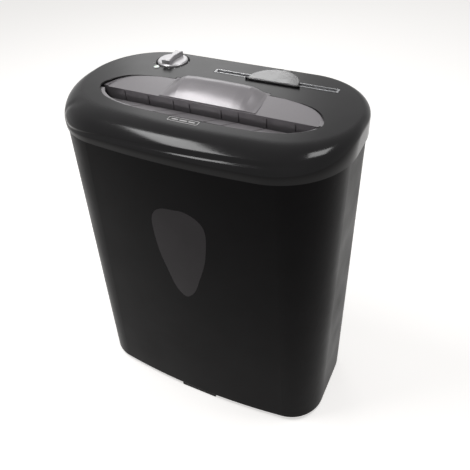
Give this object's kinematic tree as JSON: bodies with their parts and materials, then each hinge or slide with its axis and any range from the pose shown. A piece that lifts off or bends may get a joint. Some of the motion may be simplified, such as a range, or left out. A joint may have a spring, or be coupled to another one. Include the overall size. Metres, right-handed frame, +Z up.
{
  "type": "paper shredder",
  "caption": "Desk-side paper shredder: lift-off cutting head with rounded front, silver feed hood, disc slot and mode knob, on a tapered bin with sight window.",
  "frame": {"origin": "on the floor, under the middle of the object's box", "axes": "+X to the user's right along the paper throat, +Y to the back, +Z up"},
  "size_m": [0.2896, 0.1705, 0.3586],
  "materials": {
    "black_satin": "fine moulded texture, satin",
    "black_gloss": "polished black moulding",
    "silver_paint": "silver-grey satin coat on plastic",
    "smoke_clear": "smoked clear plastic",
    "clear_plastic": "clear plastic",
    "black_rubber": "moulded rubber",
    "cutter_steel": "ground steel",
    "zinc_steel": "zinc-plated sheet",
    "gear_nylon": "natural nylon",
    "sinter_bronze": "sintered bronze",
    "board_green": "printed circuit laminate",
    "grey_plastic": "plain moulded plastic",
    "lamp_white": "diffusing lens",
    "copper_iron": "wound laminated core",
    "wire_pvc": "PVC insulation"
  },
  "bodies": {
    "bin": {"bin_shell": "black_satin", "bin_window": "smoke_clear", "front_foot": "black_rubber", "rear_foot": "black_rubber", "corner_feet": "black_rubber"},
    "head": {"top_cover": "black_gloss", "head_base": "black_satin", "cover_screws": "zinc_steel", "feed_hood": "silver_paint", "front_guide": "silver_paint", "disc_slot_bezel": "clear_plastic", "left_side_plate": "zinc_steel", "right_side_plate": "zinc_steel", "tie_rods": "zinc_steel", "frame_screws": "zinc_steel", "shaft_bushes": "sinter_bronze", "front_stripper": "grey_plastic", "rear_stripper": "grey_plastic", "reduction_pin": "zinc_steel", "motor_can": "zinc_steel", "motor_front_bearing": "sinter_bronze", "motor_end_cap": "grey_plastic", "disc_anvil": "zinc_steel", "mode_switch": "grey_plastic", "indicator_lens": "lamp_white", "indicator_lamp": "lamp_white", "control_board": "board_green", "board_rail": "black_satin", "interlock_switch": "grey_plastic", "thermal_cutout": "grey_plastic", "cable_gland": "black_rubber", "sensor_switch": "grey_plastic", "motor_leads": "wire_pvc", "supply_lead": "wire_pvc"},
    "front_cutter": {"front_cutter_shaft": "cutter_steel", "front_cutter_discs": "cutter_steel", "front_cutter_spacers": "grey_plastic", "front_sync_gear": "cutter_steel"},
    "rear_cutter": {"rear_cutter_shaft": "cutter_steel", "rear_cutter_discs": "cutter_steel", "rear_cutter_spacers": "grey_plastic", "rear_sync_gear": "cutter_steel", "drive_gear": "cutter_steel"},
    "disc_roller": {"disc_roller_wheels": "cutter_steel", "disc_roller_shaft": "cutter_steel", "roller_gear": "gear_nylon"},
    "reducer": {"reduction_gear": "gear_nylon"},
    "motor_rotor": {"motor_shaft": "cutter_steel", "motor_armature": "copper_iron", "motor_pinion": "cutter_steel"},
    "knob": {"mode_knob": "silver_paint"},
    "flap": {"disc_flap": "clear_plastic"},
    "plunger": {"interlock_plunger": "lamp_white"},
    "lever": {"sensor_lever": "lamp_white"}
  },
  "joints": [
    {"name": "head_lift", "type": "slide", "parent": "bin", "child": "head", "axis": [0, 0, 1], "range_m": [0, 0.12]},
    {"name": "rear_cutter_spin", "type": "hinge", "parent": "head", "child": "rear_cutter", "pos_m": [0, 0.00475, 0.3], "axis": [1, 0, 0], "continuous": true},
    {"name": "front_cutter_spin", "type": "hinge", "parent": "head", "child": "front_cutter", "pos_m": [0, -0.03125, 0.3], "axis": [1, 0, 0], "continuous": true},
    {"name": "disc_roller_spin", "type": "hinge", "parent": "head", "child": "disc_roller", "pos_m": [0, 0.03675, 0.3], "axis": [1, 0, 0], "continuous": true},
    {"name": "reducer_spin", "type": "hinge", "parent": "head", "child": "reducer", "pos_m": [0, 0.03618, 0.30215], "axis": [1, 0, 0], "continuous": true},
    {"name": "motor_spin", "type": "hinge", "parent": "head", "child": "motor_rotor", "pos_m": [0, 0.04025, 0.2785], "axis": [1, 0, 0], "continuous": true},
    {"name": "mode_turn", "type": "hinge", "parent": "head", "child": "knob", "pos_m": [-0.0747, 0.05775, 0.35], "axis": [0, 0, 1], "range_deg": [-45, 45]},
    {"name": "flap_hinge", "type": "hinge", "parent": "head", "child": "flap", "pos_m": [0.0424, 0.04595, 0.3512], "axis": [1, 0, 0], "range_deg": [0, 100]},
    {"name": "plunger_slide", "type": "slide", "parent": "head", "child": "plunger", "axis": [0, 0, 1], "range_m": [-0.003, 0]},
    {"name": "sensor_hinge", "type": "hinge", "parent": "head", "child": "lever", "pos_m": [0, -0.02275, 0.328], "axis": [1, 0, 0], "range_deg": [-35, 0], "stiffness_Nm_per_rad": 0.004, "springref_deg": 11.46}
  ],
  "couplings": [
    {"joint": "front_cutter_spin", "follows": "rear_cutter_spin", "ratio": -1},
    {"joint": "disc_roller_spin", "follows": "rear_cutter_spin", "ratio": -1.2857},
    {"joint": "reducer_spin", "follows": "rear_cutter_spin", "ratio": -2.5},
    {"joint": "motor_spin", "follows": "rear_cutter_spin", "ratio": 7.5},
    {"joint": "plunger_slide", "follows": "head_lift", "ratio": -0.025}
  ]
}
